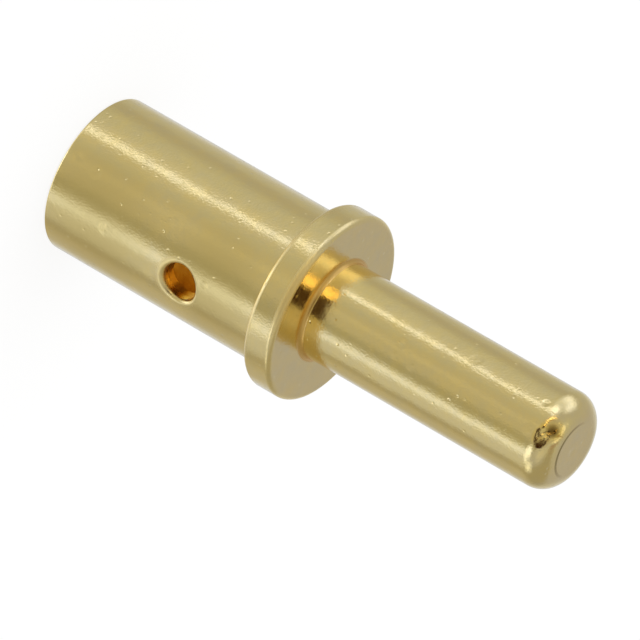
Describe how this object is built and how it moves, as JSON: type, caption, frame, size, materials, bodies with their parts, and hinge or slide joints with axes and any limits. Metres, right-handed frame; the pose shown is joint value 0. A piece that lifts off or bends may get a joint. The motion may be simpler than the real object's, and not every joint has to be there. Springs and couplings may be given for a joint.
{
  "type": "pcb pin",
  "caption": "Turned gold-plated board pin: a hollow wire barrel with an inspection hole, a seating flange and a solid round pin with a rounded tip.",
  "frame": {"origin": "centre of the barrel's open end, in the plane that the piece stands on", "axes": "+Z along the turned axis, from the barrel's open end towards the tip of the pin; the inspection hole opens towards -Y"},
  "size_m": [0.0038, 0.0038, 0.0114],
  "materials": {
    "gold_plate": "bright gold plate over turned and tumbled brass"
  },
  "bodies": {
    "root": {"pcb_pin": "gold_plate"}
  },
  "joints": []
}
